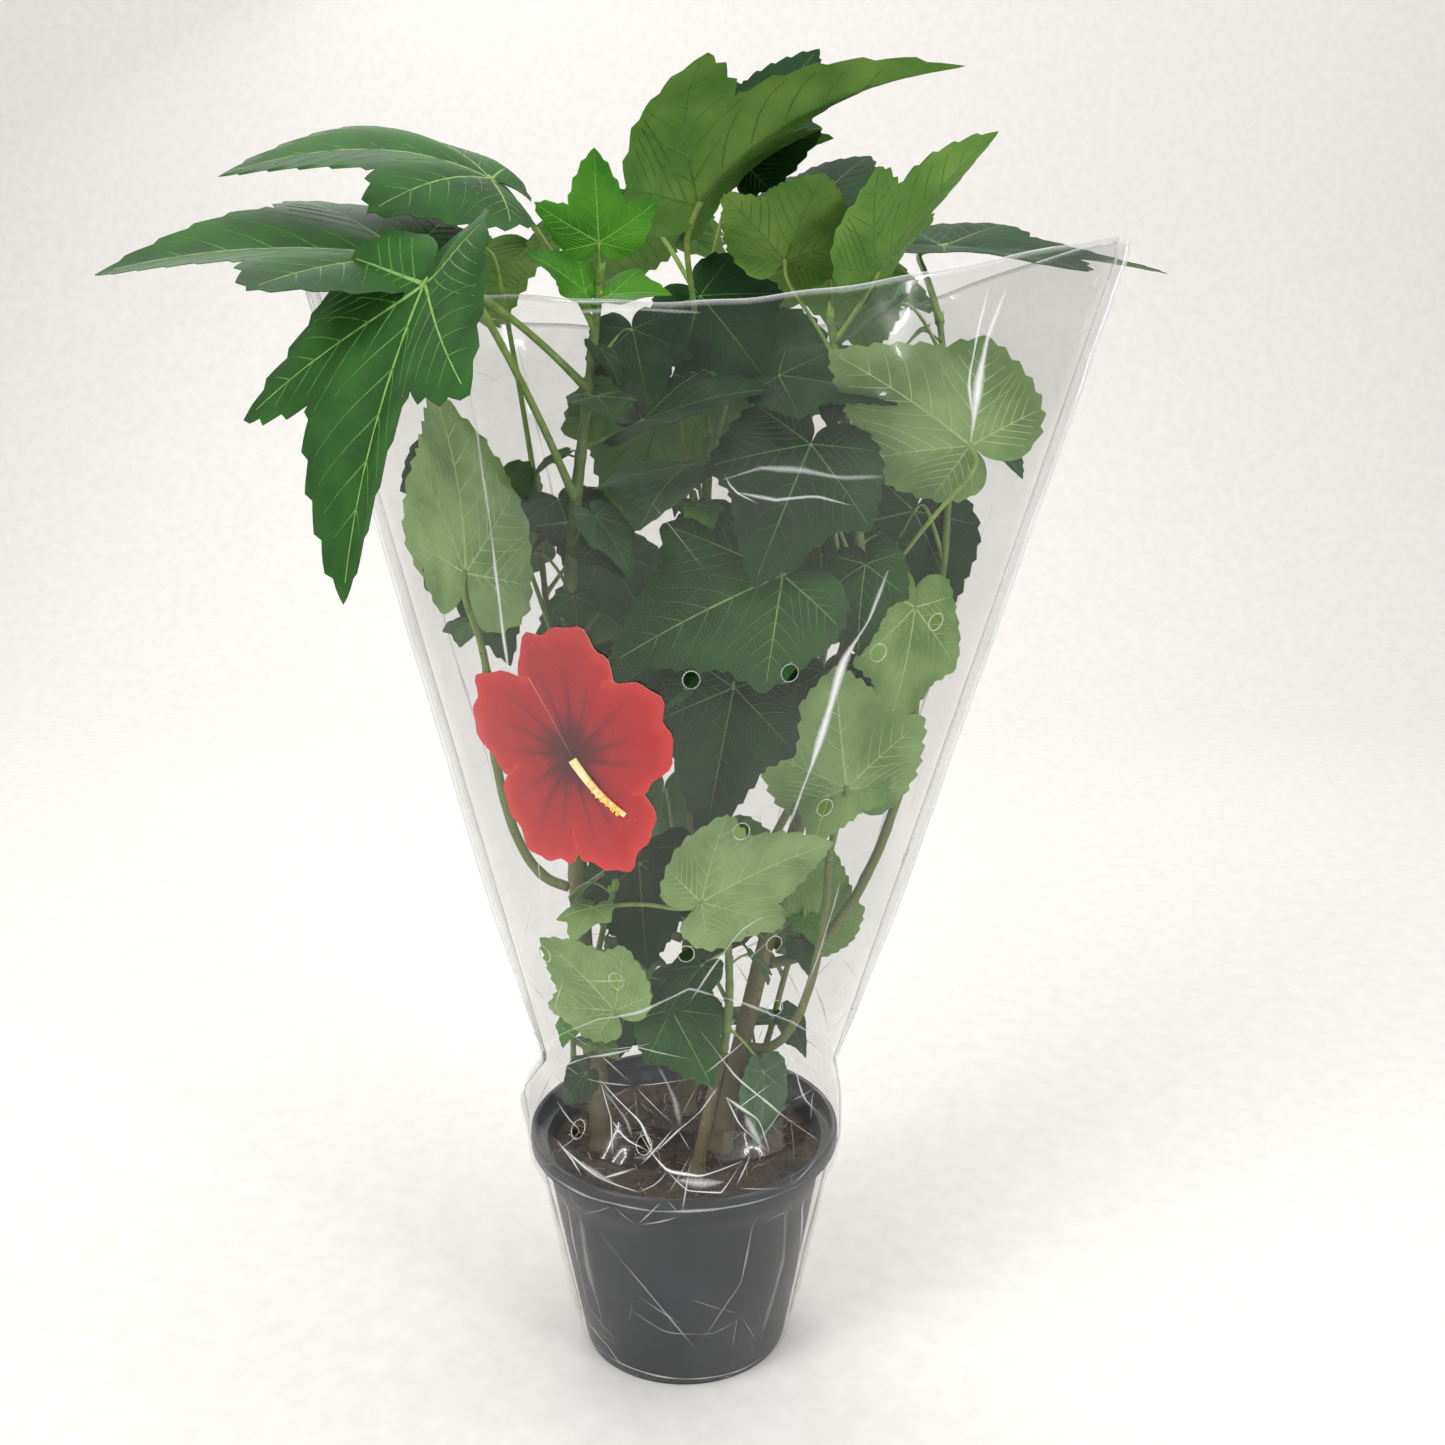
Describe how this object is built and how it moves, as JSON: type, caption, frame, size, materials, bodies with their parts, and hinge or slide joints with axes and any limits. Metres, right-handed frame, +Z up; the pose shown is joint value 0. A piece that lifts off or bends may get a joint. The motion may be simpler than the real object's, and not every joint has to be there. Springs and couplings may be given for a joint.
{
  "type": "potted hibiscus shrub",
  "caption": "Leafy hibiscus shrub with upright green stems and lobed leaves, in a plain dark nursery pot and a clear flared film sleeve with a flower label.",
  "frame": {"origin": "centre of the pot's flat underside", "axes": "+Z up along the pot's axis, -Y towards the front of the picture, with the label on the front left, +X to the right"},
  "size_m": [0.6033, 0.4565, 0.7772],
  "materials": {
    "pot": "satin",
    "soil": "rough",
    "stem": "satin",
    "bough": "satin",
    "leaves": "satin",
    "sleeve": "glossy, clear film",
    "label": "glossy print"
  },
  "bodies": {
    "root": {"pot": "pot", "soil": "soil", "stem_left": "stem", "stem_right": "stem", "stem_back": "stem", "stem_front": "stem", "bough_left": "bough", "bough_centre": "bough", "bough_right": "bough", "bough_right_front": "bough", "bough_back_left": "bough", "bough_back_right": "bough", "leaves_left_top": "leaves", "leaves_right_top": "leaves", "leaves_back_top": "leaves", "leaves_left": "leaves", "leaves_centre": "leaves", "leaves_right": "leaves", "leaves_right_front": "leaves", "leaves_back_left": "leaves", "leaves_back_right": "leaves", "leaves_front_low": "leaves", "leaves_left_low": "leaves", "leaves_left_foot": "leaves", "leaves_right_low": "leaves", "leaves_back_low": "leaves", "sleeve_front": "sleeve", "sleeve_back": "sleeve", "label": "label"}
  },
  "joints": []
}
